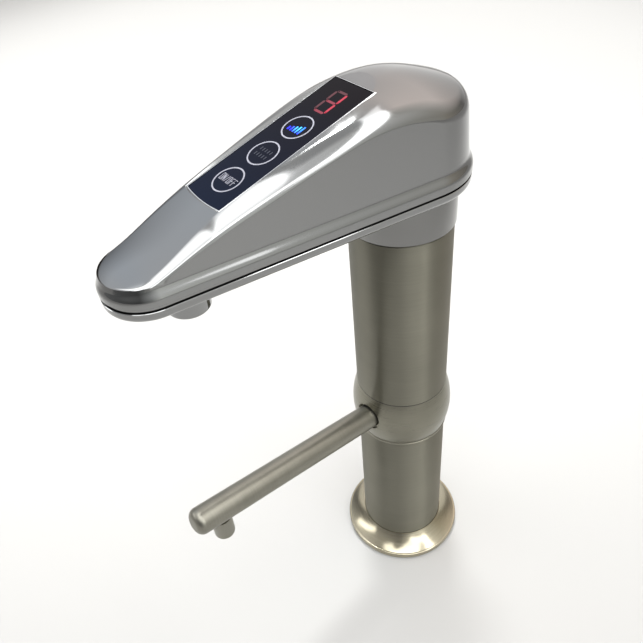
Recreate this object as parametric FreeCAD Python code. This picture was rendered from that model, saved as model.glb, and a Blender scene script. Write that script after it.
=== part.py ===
"""Water ionizer faucet: a deck-mounted column, a swivelling side spout and a touch-panel head.

Millimetres. The origin is on the deck, at the centre of the base. +Z is up the column,
-Y is towards the nose of the head and +X is the faucet's left as seen from behind it.
"""
import FreeCAD, Part
import math
import os

V = FreeCAD.Vector
UP = V(0, 0, 1)

# Fits
slip = 0.05            # radial clearance where one piece turns in another
seat = 0.05            # radial clearance where one piece is fixed in another
thrust_gap = 0.05      # axial clearance of a turning piece
past = 1.0             # how far a cut runs past the face that it opens

# Column
column_r = 25.0
column_wall = 1.5
gasket_h = 1.5
lower_column_top = 105.0
washer_h = 0.4
washer_inset = 0.1
ring_h = 31.6
upper_column_top = 240.9

# Base flange and the insert that takes the mounting shank
flange_reach = 11.4     # how far the flange stands out past the column
flange_top = 13.1
flange_rim_h = 3.3
flange_rim_round = 1.2
flange_land = 0.5
flange_dish = 1.0
flange_skin = 2.4
flange_hub = 2.4
gasket_margin = 1.0
insert_foot_inset = 1.0
insert_h = 20.0
insert_wall = 6.0
shank_thread_step = 1.45
shank_thread_length = 14.0

# Swivel core inside the side spout's ring
ring_wall = 3.0
core_spigot_h = 17.0
socket_wall = 4.4
core_stub_h = 18.0
water_groove_h = 9.0
water_groove_depth = 3.0
seal_section = 1.56
seal_groove_h = 2.0
seal_offset = 9.5
water_tube_gap = 2.0
feed_drill_r = 3.0

# Water tubes inside the column
riser_r = 5.0
riser_bore_r = 4.0
riser_foot = 24.0
riser_top = 272.0
riser_shoulder = 1.0
shoulder_h = 4.0
feed_r = 4.0
feed_bore_r = 3.0
feed_shoulder = 0.8
feed_seat_depth = 10.0

# Side spout
ring_bulge = 2.9
ring_belly_height = 15.6
ring_lip_h = 1.0
ring_lip = 0.35
spout_r = 6.75
spout_wall = 1.25
spout_azimuth = 5.56
spout_tilt = 8.98
spout_rise = 13.45       # spout axis above the foot of the ring, on the column axis
spout_root_inset = 1.0
spout_seat_depth = 1.4
spout_recess_r = 8.0
spout_length = 142.5
spout_end_round = 4.0
spout_port_r = 4.0
tip_inset = 14.1         # tip nozzle's axis from the end of the spout
tip_r = 5.13
tip_bore_r = 3.6
tip_drop = 18.7
tip_round = 1.2

# Swivel joint at the top of the column
bush_h = 19.9
bush_wall = 4.45
collar_proud = 0.9
collar_bevel = 0.7
spigot_wall = 3.45
spigot_overrun = 3.5
clip_h = 1.1
clip_gap = 0.6
clip_opening = 5.0
clip_depth = 1.3
clip_proud = 1.55
stop_pin_r = 1.5
stop_drop = 11.9
stop_slot_depth = 1.2
stop_pin_play = 0.1
stop_pin_recess = 0.2
thrust_washer_inset = 0.6
thrust_washer_play = 0.2
head_swing = 90.0
head_swing_margin = 2.0

# Head, seen in plan: a back arc on the column axis and a nose arc, with their tangents
head_reach = 121.7
head_back_r = 31.2
head_nose_r = 18.4
plate_bottom = 261.5
plate_h = 4.5
plate_inset = 0.2
plate_round = 2.6
seal_h = 0.6
seal_inset = 1.6
seal_w = 1.6
shell_wall = 2.5
lip_h = 3.2
flare_h = 8.7
flare_inset = 1.9
flare_steps = 6
draft = 0.0656
shoulder_round = 10.4

# Line of the head's top from behind the dome to past the nose, as distance forward, height above
# the panel's plane, and how far the surface sags at crown_half across. The first list is measured
# from the column axis, the second from the centre of the nose arc.
crown_half = 40.0
crown_rows = 30
dome_line = [(-46.0, -50.38, 21.5), (-30.0, -27.76, 21.5), (-14.0, -14.34, 21.5), (4.0, -3.95, 21.5),
             (17.0, 0.31, 20.5), (57.0, 2.4, 11.1)]
nose_line = [(-27.0, 1.23, 3.2), (-9.7, 0.63, 4.7), (5.3, -0.14, 10.6), (17.3, 1.32, 15.3),
             (30.3, -9.23, 15.3)]

# Touch panel, in its own plane: y runs up the slope, z is the outward normal
panel_rise = 51.1        # plane above the plate, on the column axis
panel_nose_rise = 15.97  # plane above the plate, at the centre of the nose arc
panel_setback = 23.1     # front edge behind the centre of the nose arc
panel_l = 74.7
panel_half_w = 11.9
panel_bow = 1.0
panel_gap = 0.1
glass_h = 2.0
facet_l = 30.0
open_h = 20.0            # how far the cuts over the panel run above its plane
ledge_h = 3.0
ledge_w = 2.4
cradle_margin = 2.3
board_half_w = 12.4
board_h = 1.6
board_end_margin = 0.8
button_first = 12.56
digit_setback = 12.13    # digit's centre from the back edge of the panel
button_count = 3
touch_ring_outer_r = 6.0
touch_ring_inner_r = 4.4
lamp_w = 3.2
lamp_h = 1.6
digit_w = 12.6
digit_gap = 1.67
connector_w = 10.0
connector_l = 6.0
connector_h = 4.0
connector_inset = 10.0
board_screw_x = 10.9
board_screw_front = 6.0
board_screw_back = 4.0
board_screw_r = 1.0
board_screw_head_r = 1.7
board_screw_head_h = 1.3
board_screw_length = 3.2

# Screws that hold the plate to the shell, and the plate to the collar
boss_r = 3.4
boss_h = 14.0
boss_floor = 1.5
back_boss = (19.4, 42.0)     # across, forward of the column axis
front_boss = (14.4, 28.7)    # across, behind the centre of the nose arc
screw_end_gap = 0.5
plate_screw_r = 1.5
plate_screw_head_r = 3.0
plate_screw_length = 12.0
collar_screw_inset = 5.4
collar_screw_r = 2.0
collar_screw_head_r = 3.5
collar_screw_head_h = 2.4
collar_screw_length = 13.5
collar_screw_count = 3

# Water way inside the head, and the main outlet
hub_r = 9.0
hub_h = 17.5
hub_chamber_h = 15.0
hub_seal_low = 2.6
hub_socket_depth = 3.0
tube_r = 4.0
tube_bore_r = 3.0
tube_rise = 11.0
tube_bend_r = 6.5
tube_seat_depth = 2.6
outlet_setback = 12.5    # outlet's axis behind the centre of the nose arc
plate_riser_gap = 1.5
outlet_r = 9.0
outlet_bottom = 248.0
outlet_round = 2.0
outlet_mouth_r = 7.4
outlet_mouth_depth = 8.0
outlet_spigot_r = 7.0
outlet_spigot_overrun = 0.8
nut_flat_r = 10.0
nut_h = 3.6
aerator_recess = 1.5
aerator_rim = 1.2
aerator_disc_h = 1.4
aerator_hole_r = 0.75
aerator_hole_pitch = 2.4

# Sizes and heights that follow from the sizes above
inner_r = column_r - column_wall
flange_r = column_r + flange_reach
insert_foot_r = column_r - insert_foot_inset
hose_bore_r = inner_r - seat - insert_wall
shank_thread_r = hose_bore_r - shank_thread_step
feed_offset = riser_r + feed_r + water_tube_gap
core_r = column_r - ring_wall - slip
core_stub_r = inner_r - socket_wall - 2 * seat
spigot_r = inner_r - bush_wall - seat - slip
collar_r = column_r + collar_proud
collar_bore_r = spigot_r - spigot_wall
collar_screw_circle_r = collar_r - collar_screw_inset
clip_inner_r = spigot_r - clip_depth
clip_outer_r = spigot_r + clip_proud
spout_root = column_r - spout_root_inset
ring_bottom = lower_column_top + washer_h + thrust_gap
ring_top = ring_bottom + ring_h
upper_column_bottom = ring_top + thrust_gap + washer_h
spout_height = ring_bottom + spout_rise
tip_distance = spout_length - tip_inset
core_bottom = lower_column_top - core_spigot_h
thrust_washer_h = washer_h + thrust_gap
collar_bottom = upper_column_top + thrust_washer_h + thrust_gap
plate_top = plate_bottom + plate_h
shell_bottom = plate_top + seal_h
bush_bottom = upper_column_top - bush_h
stop_height = upper_column_top - stop_drop
spigot_end = bush_bottom - spigot_overrun
clip_bottom = bush_bottom - clip_gap - clip_h
panel_height = plate_top + panel_rise
panel_fall = (panel_rise - panel_nose_rise) / head_reach
panel_slope = math.degrees(math.atan(panel_fall))
panel_front = panel_setback - head_reach
panel_back = panel_front + panel_l
button_pitch = (panel_l - button_first - digit_setback) / button_count
digit_l = 2 * (button_pitch - touch_ring_outer_r - digit_gap)
glass_bottom = -glass_h
outlet_distance = head_reach - outlet_setback
boss_places = [back_boss, (front_boss[0], head_reach - front_boss[1])]
tube_end = plate_top - tube_seat_depth
outlet_spigot_top = plate_top + nut_h + outlet_spigot_overrun
board_top = -glass_h - ledge_h
board_bottom = board_top - board_h


def cylinder(radius, low, high, x=0.0, y=0.0):
    return Part.makeCylinder(radius, high - low, V(x, y, low))


def tube(outer, inner, low, high, x=0.0, y=0.0):
    return cylinder(outer, low, high, x, y).cut(cylinder(inner, low - past, high + past, x, y))


def turned(points):
    """Solid of revolution about Z from its half section of (radius, height) points."""
    corners = [V(r, 0, z) for r, z in points]
    face = Part.Face(Part.makePolygon(corners + corners[:1]))
    return face.revolve(V(0, 0, 0), UP, 360)


def turned_edges(edges):
    """Solid of revolution about Z from the edges of its half section."""
    return Part.Face(Part.Wire(edges)).revolve(V(0, 0, 0), UP, 360)


def edges_at(shape, test):
    return [edge for edge in shape.Edges if test(edge.CenterOfMass, edge)]


def block(x0, x1, y0, y1, z0, z1):
    return Part.makeBox(x1 - x0, y1 - y0, z1 - z0, V(x0, y0, z0))


def joined(shapes):
    first, rest = shapes[0], shapes[1:]
    return first.fuse(rest).removeSplitter() if rest else first


# Column and base


def base_gasket():
    return tube(flange_r - gasket_margin, insert_foot_r + seat, 0, gasket_h)


def base_flange():
    """Flared skirt with a dished cone, a rounded rim and a hollow underside."""
    bore = column_r + seat
    top_r = column_r + flange_land
    rim_top = gasket_h + flange_rim_h
    cone_foot = V(flange_r - flange_rim_round, 0, rim_top)
    cone_head = V(top_r, 0, flange_top)
    middle = (cone_foot + cone_head) * 0.5 - V(flange_dish, 0, flange_dish)
    rim_mid = V(flange_r - flange_rim_round * (1 - math.sqrt(0.5)), 0,
                rim_top - flange_rim_round * (1 - math.sqrt(0.5)))
    rim_low = V(flange_r, 0, rim_top - flange_rim_round)
    corner = V(flange_r, 0, gasket_h)
    inner_top = V(bore, 0, flange_top)
    inner_low = V(bore, 0, gasket_h)
    line = Part.makeLine
    skirt = turned_edges([
        line(inner_low, inner_top),
        line(inner_top, cone_head),
        Part.Arc(cone_head, middle, cone_foot).toShape(),
        Part.Arc(cone_foot, rim_mid, rim_low).toShape(),
        line(rim_low, corner),
        line(corner, inner_low)])
    hub_out = bore + flange_hub
    rim_in = flange_r - flange_skin
    hollow = turned([(hub_out, gasket_h - past), (rim_in, gasket_h - past), (rim_in, rim_top - flange_skin),
                     (hub_out, flange_top - 2 * flange_skin)])
    return skirt.cut(hollow)


def mounting_insert():
    """Turned brass plug: threaded for the shank below, open for the hoses above."""
    foot = cylinder(insert_foot_r, 0, gasket_h)
    plug = cylinder(inner_r - seat, gasket_h, insert_h)
    body = joined([foot, plug])
    body = body.cut(cylinder(shank_thread_r, -past, shank_thread_length))
    return body.cut(cylinder(hose_bore_r, shank_thread_length, insert_h + past))


def lower_column():
    return tube(column_r, inner_r, gasket_h, lower_column_top)


def upper_column():
    return tube(column_r, inner_r, upper_column_bottom, upper_column_top)


def swivel_core():
    """Stepped body that carries the ring, with the side spout's water groove and seal grooves."""
    body = turned([
        (riser_r + seat, core_bottom), (inner_r - seat, core_bottom),
        (inner_r - seat, lower_column_top), (core_r, lower_column_top),
        (core_r, upper_column_bottom), (core_stub_r, upper_column_bottom),
        (core_stub_r, upper_column_bottom + core_stub_h),
        (riser_r + seat, upper_column_bottom + core_stub_h)])
    groove_low = spout_height - water_groove_h / 2
    body = body.cut(tube(core_r + past, core_r - water_groove_depth, groove_low,
                         groove_low + water_groove_h))
    for height in seal_heights():
        body = body.cut(tube(core_r + past, core_r - seal_section - seat,
                             height - seal_groove_h / 2, height + seal_groove_h / 2))
    seat_top = core_bottom + feed_seat_depth
    body = body.cut(cylinder(feed_r + seat, core_bottom - past, seat_top, 0, feed_offset))
    body = body.cut(cylinder(feed_drill_r, seat_top - past, spout_height, 0, feed_offset))
    port = Part.makeCylinder(feed_drill_r, core_r - feed_offset, V(0, feed_offset, spout_height),
                             V(0, 1, 0))
    return body.cut(port)


def seal_heights():
    return [spout_height - seal_offset, spout_height + seal_offset]


def core_seals():
    radius = seal_section / 2
    rings = [Part.makeTorus(core_r - radius, radius, V(0, 0, height), UP)
             for height in seal_heights()]
    return Part.makeCompound(rings)


def ring_washers():
    outer = column_r - washer_inset
    inner = core_r + seat
    low = tube(outer, inner, lower_column_top, lower_column_top + washer_h)
    high = tube(outer, inner, upper_column_bottom - washer_h, upper_column_bottom)
    return Part.makeCompound([low, high])


def column_socket():
    """Sleeve on the core's stub that centres the upper column and traps the ring."""
    return tube(inner_r - seat, core_stub_r + seat, upper_column_bottom,
                upper_column_bottom + core_stub_h)


def riser_tube():
    stem = cylinder(riser_r, riser_foot, riser_top)
    shoulder = cylinder(riser_r + riser_shoulder, core_bottom - shoulder_h, core_bottom)
    return joined([stem, shoulder]).cut(cylinder(riser_bore_r, riser_foot - past, riser_top + past))


def feed_tube():
    top = core_bottom + feed_seat_depth
    stem = cylinder(feed_r, riser_foot, top, 0, feed_offset)
    shoulder = cylinder(feed_r + feed_shoulder, core_bottom - shoulder_h, core_bottom, 0,
                        feed_offset)
    return joined([stem, shoulder]).cut(cylinder(feed_bore_r, riser_foot - past, top + past,
                                                0, feed_offset))


# Side spout


def spout_direction():
    turn = math.radians(spout_azimuth)
    tilt = math.radians(spout_tilt)
    return V(math.sin(turn) * math.cos(tilt), -math.cos(turn) * math.cos(tilt), math.sin(tilt))


def along_spout(distance):
    return V(0, 0, spout_height) + spout_direction() * distance


def spout_rod(radius, start, end):
    return Part.makeCylinder(radius, end - start, along_spout(start), spout_direction())


def spout_ring():
    """Barrel ring with a small lip below and a drilled seat for the spout tube."""
    bore = core_r + slip
    shoulder = ring_bottom + ring_lip_h
    low_out = V(column_r + ring_lip, 0, ring_bottom)
    lip_top = V(column_r + ring_lip, 0, shoulder)
    belly_low = V(column_r, 0, shoulder)
    belly = V(column_r + ring_bulge, 0, ring_bottom + ring_belly_height)
    belly_top = V(column_r, 0, ring_top)
    bore_top = V(bore, 0, ring_top)
    bore_low = V(bore, 0, ring_bottom)
    line = Part.makeLine
    body = turned_edges([
        line(bore_low, low_out),
        line(low_out, lip_top),
        line(lip_top, belly_low),
        Part.Arc(belly_low, belly, belly_top).toShape(),
        line(belly_top, bore_top),
        line(bore_top, bore_low)])
    body = body.cut(spout_rod(spout_r + seat, spout_root, 2 * column_r))
    body = body.cut(spout_rod(spout_recess_r, spout_root + spout_seat_depth, 2 * column_r))
    return body.cut(spout_rod(spout_port_r, core_r - past, spout_root + past))


def side_tube():
    """Bent-up side tube with a closed, rounded end and a hole for its tip nozzle."""
    def at_end(centre, edge):
        return (centre - along_spout(spout_length)).Length < spout_r
    rod = spout_rod(spout_r, spout_root, spout_length)
    rod = rod.makeFillet(spout_end_round, edges_at(rod, at_end))
    bore_r = spout_r - spout_wall
    bore = spout_rod(bore_r, spout_root - past, spout_length - spout_wall)

    def at_bore_end(centre, edge):
        return (centre - along_spout(spout_length - spout_wall)).Length < bore_r
    bore = bore.makeFillet(spout_end_round - spout_wall, edges_at(bore, at_bore_end))
    place = along_spout(tip_distance)
    hole = cylinder(tip_bore_r, place.z - 2 * spout_r, place.z, place.x, place.y)
    return rod.cut(bore).cut(hole)


def tip_nozzle():
    """Short round nozzle, saddled to the underside of the side tube."""
    place = along_spout(tip_distance)
    foot = place.z - tip_drop
    body = cylinder(tip_r, foot, place.z, place.x, place.y)
    body = body.makeFillet(tip_round, edges_at(body, lambda c, e: abs(c.z - foot) < 0.01))
    body = body.cut(spout_rod(spout_r, spout_root, spout_length))
    return body.cut(cylinder(tip_bore_r, foot - past, place.z + past, place.x, place.y))


# Swivel joint under the head


def column_bush():
    body = tube(inner_r - seat, spigot_r + slip, bush_bottom, upper_column_top)
    return body.cut(stop_pin())


def thrust_washer():
    return tube(column_r - thrust_washer_inset, spigot_r + thrust_washer_play, upper_column_top,
                upper_column_top + thrust_washer_h)


def stop_pin():
    inner = spigot_r - stop_slot_depth + stop_pin_play
    outer = inner_r - seat - stop_pin_recess
    return Part.makeCylinder(stop_pin_r, outer - inner, V(0, inner, stop_height),
                             V(0, 1, 0))


def neck_collar():
    """Turned collar under the head, with a spigot that runs in the column's bush."""
    top = plate_bottom
    body = turned([
        (collar_bore_r, spigot_end), (spigot_r, spigot_end), (spigot_r, collar_bottom),
        (collar_r - collar_bevel, collar_bottom), (collar_r, collar_bottom + collar_bevel),
        (collar_r, top), (collar_bore_r, top)])
    body = body.cut(tube(spigot_r + past, clip_inner_r - seat, clip_bottom - seat,
                         clip_bottom + clip_h + seat))
    reach = head_swing + head_swing_margin + math.degrees(stop_pin_r / (spigot_r - stop_slot_depth))
    slot_r = spigot_r - stop_slot_depth
    slot_half_h = stop_pin_r + seat
    sweep = Part.makeCylinder(spigot_r + past, 2 * slot_half_h, V(0, 0, stop_height - slot_half_h), UP,
                              2 * reach)
    sweep = sweep.cut(cylinder(slot_r, stop_height - slot_half_h - past, stop_height + slot_half_h + past))
    sweep.rotate(V(0, 0, 0), UP, 90 - reach)
    body = body.cut(sweep)
    for x, y in collar_screw_places():
        body = body.cut(cylinder(collar_screw_r + seat, top - collar_screw_length, top + past, x, y))
    return body


def spigot_clip():
    ring = tube(clip_outer_r, clip_inner_r, clip_bottom, clip_bottom + clip_h)
    half = clip_opening / 2
    gap = block(-half, half, -clip_outer_r - past, past - clip_inner_r, clip_bottom - past,
                clip_bottom + clip_h + past)
    return ring.cut(gap)


def collar_screw_places():
    step = 360 / collar_screw_count
    angles = [math.radians(90 + step * k) for k in range(collar_screw_count)]
    return [(collar_screw_circle_r * math.cos(a), collar_screw_circle_r * math.sin(a)) for a in angles]


def collar_screws():
    screws = []
    for x, y in collar_screw_places():
        tip = plate_bottom - collar_screw_length + screw_end_gap
        shank = cylinder(collar_screw_r, tip, plate_top, x, y)
        head = cylinder(collar_screw_head_r, plate_top, plate_top + collar_screw_head_h, x, y)
        screws.append(joined([shank, head]))
    return Part.makeCompound(screws)


# Head housing


def teardrop(inset, z):
    """Closed plan outline of the head at one height, pulled in evenly by the inset."""
    back_r = head_back_r - inset
    nose_r = head_nose_r - inset
    lean = math.asin((back_r - nose_r) / head_reach)
    side = V(math.cos(lean), -math.sin(lean), 0)
    mirrored = V(-side.x, side.y, 0)
    level = V(0, 0, z)
    nose = V(0, -head_reach, z)
    back_left, back_right = level + side * back_r, level + mirrored * back_r
    nose_left, nose_right = nose + side * nose_r, nose + mirrored * nose_r
    return Part.Wire([
        Part.Arc(back_left, level + V(0, back_r, 0), back_right).toShape(),
        Part.makeLine(back_right, nose_right),
        Part.Arc(nose_right, nose - V(0, nose_r, 0), nose_left).toShape(),
        Part.makeLine(nose_left, back_left)])


def prism(inset, low, high, pull_in=0.0):
    """Solid between two teardrops, straight or drafted."""
    return Part.makeLoft([teardrop(inset, low), teardrop(inset + pull_in, high)], True, True)


def under_top(lowering):
    """Everything below the head's crowned top surface, lowered by a wall thickness."""
    points = dome_line + [(ahead + head_reach, rise, sag) for ahead, rise, sag in nose_line]
    stations = [V(sag, -ahead, panel_height - panel_fall * ahead + rise) for ahead, rise, sag in points]
    line = Part.BSplineCurve()
    line.interpolate(stations)
    first, last = line.FirstParameter, line.LastParameter
    rows = []
    for i in range(crown_rows + 1):
        station = line.value(first + (last - first) * i / crown_rows)
        row = []
        for j in range(-4, 5):
            share = j / 4
            row.append(V(crown_half * share, station.y, station.z - lowering - station.x * share ** 2))
        rows.append(row)
    surface = Part.BSplineSurface()
    surface.interpolate(rows)
    return surface.toShape().extrude(V(0, 0, -panel_height))


def rounded_form(inset, low, lowering, radius):
    """Drafted teardrop under the crowned top, with its whole shoulder rounded."""
    walls = prism(inset, low, panel_height, draft * (panel_height - low))
    form = walls.common(under_top(lowering))
    top = max(form.Faces, key=lambda face: face.CenterOfMass.z)
    return form.makeFillet(radius, top.OuterWire.Edges)


def lip():
    """Outward flare at the foot of the shell, from the lip's full width into the wall."""
    sections = [prism(0, shell_bottom, shell_bottom + lip_h)]
    start = shell_bottom + lip_h
    rings = []
    for k in range(flare_steps + 1):
        t = k / flare_steps
        inset = flare_inset * (0.5 - 0.5 * math.cos(math.pi * t))
        rings.append(teardrop(inset, start + (flare_h - lip_h) * t))
    sections.append(Part.makeLoft(rings, True, False))
    return sections[0].fuse(sections[1])


def in_panel_plane(shape):
    placed = shape.copy()
    placed.rotate(V(0, 0, 0), V(1, 0, 0), panel_slope)
    placed.translate(V(0, 0, panel_height))
    return placed


def panel_outline(grow, low, high):
    """Long rectangle whose front end bows forward a little."""
    half = panel_half_w + grow
    back = panel_back + grow
    front = panel_front - grow
    corners = [V(-half, front + panel_bow, low), V(-half, back, low), V(half, back, low),
               V(half, front + panel_bow, low)]
    edges = [Part.makeLine(corners[0], corners[1]), Part.makeLine(corners[1], corners[2]),
             Part.makeLine(corners[2], corners[3]),
             Part.Arc(corners[3], V(0, front, low), corners[0]).toShape()]
    return Part.Face(Part.Wire(edges)).extrude(V(0, 0, high - low))


def head_shell():
    """Cast shell: flared lip, drafted walls, rounded shoulders, panel pocket and screw bosses."""
    wall_inset = flare_inset - draft * flare_h
    outer = rounded_form(wall_inset, shell_bottom, 0, shoulder_round)
    inner = rounded_form(wall_inset + shell_wall, shell_bottom - past, shell_wall,
                         shoulder_round - shell_wall)
    half = panel_half_w + cradle_margin
    cradle = in_panel_plane(block(-half, half, panel_front - cradle_margin,
                                  panel_back + cradle_margin, board_top, shell_wall))
    shell = outer.fuse(lip()).cut(inner.cut(cradle))
    for x, s in boss_places:
        for side in (-1, 1):
            boss = cylinder(boss_r, plate_top, plate_top + boss_h, side * x, -s)
            shell = shell.fuse(boss)
    for x, s in boss_places:
        for side in (-1, 1):
            shell = shell.cut(cylinder(plate_screw_r + seat, plate_top - past,
                                       plate_top + boss_h - boss_floor, side * x, -s))
    half = panel_half_w
    facet = block(-half, half, panel_back - past, panel_back + facet_l, 0, open_h)
    shell = shell.cut(in_panel_plane(facet))
    shell = shell.cut(in_panel_plane(panel_outline(0, glass_bottom, open_h)))
    window_half = half - ledge_w
    window = block(-window_half, window_half, panel_front + panel_bow + ledge_w,
                   panel_back - ledge_w / 2, board_top - past, glass_bottom + past)
    shell = shell.cut(in_panel_plane(window))
    for x, y in board_screw_places():
        hole = cylinder(board_screw_r + seat, board_top - past,
                        board_bottom + board_screw_length + screw_end_gap, x, y)
        shell = shell.cut(in_panel_plane(hole))
    return shell


def head_seal():
    low = plate_top
    outer = prism(seal_inset, low, shell_bottom)
    return outer.cut(prism(seal_inset + seal_w, low - past, shell_bottom + past))


def head_plate():
    """Flat plate that closes the head from below, rounded at its lower edge."""
    plate = prism(plate_inset, plate_bottom, plate_top)
    rim = edges_at(plate, lambda c, e: abs(c.z - plate_bottom) < 0.01)
    plate = plate.makeFillet(plate_round, rim)
    low, high = plate_bottom - past, plate_top + past
    plate = plate.cut(cylinder(riser_r + plate_riser_gap, low, high))
    plate = plate.cut(cylinder(outlet_spigot_r + seat, low, high, 0, -outlet_distance))
    for x, y in collar_screw_places():
        plate = plate.cut(cylinder(collar_screw_r + seat, low, high, x, y))
    for x, y in plate_screw_places():
        sink = Part.makeCone(plate_screw_head_r + seat, plate_screw_r + seat,
                             plate_screw_head_r - plate_screw_r, V(x, y, plate_bottom), UP)
        plate = plate.cut(sink)
        plate = plate.cut(cylinder(plate_screw_r + seat, low, high, x, y))
    return plate


def plate_screw_places():
    return [(side * x, -s) for x, s in boss_places for side in (-1, 1)]


def plate_screws():
    screws = []
    for x, y in plate_screw_places():
        head = Part.makeCone(plate_screw_head_r, plate_screw_r, plate_screw_head_r - plate_screw_r,
                             V(x, y, plate_bottom), UP)
        shank = cylinder(plate_screw_r, plate_bottom, plate_bottom + plate_screw_length, x, y)
        screws.append(joined([head, shank]))
    return Part.makeCompound(screws)


# Touch panel and its board


def touch_glass():
    return in_panel_plane(panel_outline(-panel_gap, glass_bottom, 0))


def button_places():
    return [panel_front + button_first + button_pitch * k for k in range(button_count)]


def touch_rings():
    rings = [in_panel_plane(tube(touch_ring_outer_r, touch_ring_inner_r, board_top, glass_bottom, 0, y))
             for y in button_places()]
    return Part.makeCompound(rings)


def button_lamps():
    half = lamp_w / 2
    lamps = [in_panel_plane(block(-half, half, y - half, y + half, board_top, board_top + lamp_h))
             for y in button_places()]
    return Part.makeCompound(lamps)


def digit_display():
    centre = panel_front + button_first + button_pitch * button_count
    body = block(-digit_w / 2, digit_w / 2, centre - digit_l / 2, centre + digit_l / 2,
                 board_top, glass_bottom)
    return in_panel_plane(body)


def board_screw_places():
    ends = (panel_front + board_screw_front, panel_back - board_screw_back)
    return [(side * board_screw_x, y) for y in ends for side in (-1, 1)]


def circuit_board():
    front = panel_front + board_end_margin
    back = panel_back - board_end_margin
    board = block(-board_half_w, board_half_w, front, back, board_bottom, board_top)
    for x, y in board_screw_places():
        board = board.cut(cylinder(board_screw_r + seat, board_bottom - past, board_top + past, x, y))
    return in_panel_plane(board)


def board_connector():
    back = panel_back - connector_inset
    return in_panel_plane(block(-connector_w / 2, connector_w / 2, back - connector_l, back,
                                board_bottom - connector_h, board_bottom))


def board_screws():
    screws = []
    for x, y in board_screw_places():
        head = cylinder(board_screw_head_r, board_bottom - board_screw_head_h, board_bottom, x, y)
        shank = cylinder(board_screw_r, board_bottom, board_bottom + board_screw_length, x, y)
        screws.append(in_panel_plane(joined([head, shank])))
    return Part.makeCompound(screws)


# Water way in the head


def swivel_hub():
    """Brass block round the top of the riser, with a side port for the head's tube."""
    low = plate_top
    hub = cylinder(hub_r, low, low + hub_h)
    hub = hub.cut(cylinder(riser_r + slip, low - past, low + hub_chamber_h))
    seal_low = low + hub_seal_low
    hub = hub.cut(cylinder(riser_r + slip + seal_section, seal_low, seal_low + seal_groove_h))
    level = low + tube_rise
    socket = Part.makeCylinder(tube_r + seat, hub_socket_depth + past,
                               V(0, hub_socket_depth - hub_r, level), V(0, -1, 0))
    port = Part.makeCylinder(tube_bore_r, hub_r, V(0, 0, level), V(0, -1, 0))
    return hub.cut(socket).cut(port)


def hub_seal():
    radius = (seal_section - slip) / 2
    centre = plate_top + hub_seal_low + seal_groove_h / 2
    return Part.makeTorus(riser_r + slip + radius, radius, V(0, 0, centre), UP)


def head_tube():
    """Tube from the hub to the outlet, level and then bent straight down."""
    level = plate_top + tube_rise
    start = V(0, hub_socket_depth - hub_r, level)
    bend = V(0, -outlet_distance + tube_bend_r, level)
    turn = V(0, -outlet_distance + tube_bend_r * (1 - math.sqrt(0.5)),
             level - tube_bend_r * (1 - math.sqrt(0.5)))
    down = V(0, -outlet_distance, level - tube_bend_r)
    end = V(0, -outlet_distance, tube_end)
    path = Part.Wire([Part.makeLine(start, bend), Part.Arc(bend, turn, down).toShape(),
                      Part.makeLine(down, end)])

    def swept(radius):
        ring = Part.Wire(Part.makeCircle(radius, start, V(0, -1, 0)))
        return path.makePipeShell([ring], True, False)
    return swept(tube_r).cut(swept(tube_bore_r))


def outlet_nozzle():
    """Turned nozzle with a rounded mouth, a recess for the aerator and a spigot for its nut."""
    y = -outlet_distance
    body = cylinder(outlet_r, outlet_bottom, plate_bottom, 0, y)
    body = body.makeFillet(outlet_round, edges_at(body, lambda c, e: abs(c.z - outlet_bottom) < 0.01))
    body = joined([body, cylinder(outlet_spigot_r, plate_bottom, outlet_spigot_top, 0, y)])
    mouth_top = outlet_bottom + outlet_mouth_depth
    body = body.cut(cylinder(outlet_mouth_r, outlet_bottom - past, mouth_top, 0, y))
    body = body.cut(cylinder(tube_bore_r, mouth_top - past, tube_end, 0, y))
    return body.cut(cylinder(tube_r + seat, tube_end, outlet_spigot_top + past, 0, y))


def outlet_nut():
    corner_r = nut_flat_r / math.cos(math.radians(30))
    corners = [V(corner_r * math.cos(math.radians(60 * k)),
                 corner_r * math.sin(math.radians(60 * k)) - outlet_distance, plate_top)
               for k in range(7)]
    nut = Part.Face(Part.makePolygon(corners)).extrude(V(0, 0, nut_h))
    return nut.cut(cylinder(outlet_spigot_r + seat, plate_top - past, plate_top + nut_h + past, 0,
                            -outlet_distance))


def aerator():
    """Cup-shaped insert whose floor is drilled in a hexagonal pattern."""
    low = outlet_bottom + aerator_recess
    high = outlet_bottom + outlet_mouth_depth
    outer = outlet_mouth_r - seat
    cup = cylinder(outer, low, high, 0, -outlet_distance)
    cup = cup.cut(cylinder(outer - aerator_rim, low + aerator_disc_h, high + past, 0,
                           -outlet_distance))
    row_step = aerator_hole_pitch * math.sin(math.radians(60))
    rows = math.ceil(outer / row_step)
    for row in range(-rows, rows + 1):
        for column in range(-rows, rows + 1):
            x = (column + (row % 2) / 2) * aerator_hole_pitch
            y = row * row_step
            if math.hypot(x, y) + aerator_hole_r < outer - aerator_rim:
                cup = cup.cut(cylinder(aerator_hole_r, low - past, low + aerator_disc_h + past, x,
                                   y - outlet_distance))
    return cup


PIECES = [
    base_gasket, base_flange, mounting_insert, lower_column, upper_column, swivel_core, core_seals,
    ring_washers, column_socket, riser_tube, feed_tube, column_bush, thrust_washer, stop_pin,
    spout_ring, side_tube, tip_nozzle,
    neck_collar, spigot_clip, collar_screws, head_plate, head_seal, head_shell, plate_screws,
    touch_glass, touch_rings, button_lamps, digit_display, circuit_board, board_connector,
    board_screws, swivel_hub, hub_seal, head_tube, outlet_nozzle, outlet_nut, aerator,
]

os.makedirs("parts", exist_ok=True)
for piece in PIECES:
    shape = piece()
    shape.exportStep("parts/" + piece.__name__ + ".step")
    print(piece.__name__, len(shape.Solids), round(shape.Volume, 1), shape.isValid())
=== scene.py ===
from math import asin, atan, atan2, cos, hypot, pi, radians, sin, sqrt, tan

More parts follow.
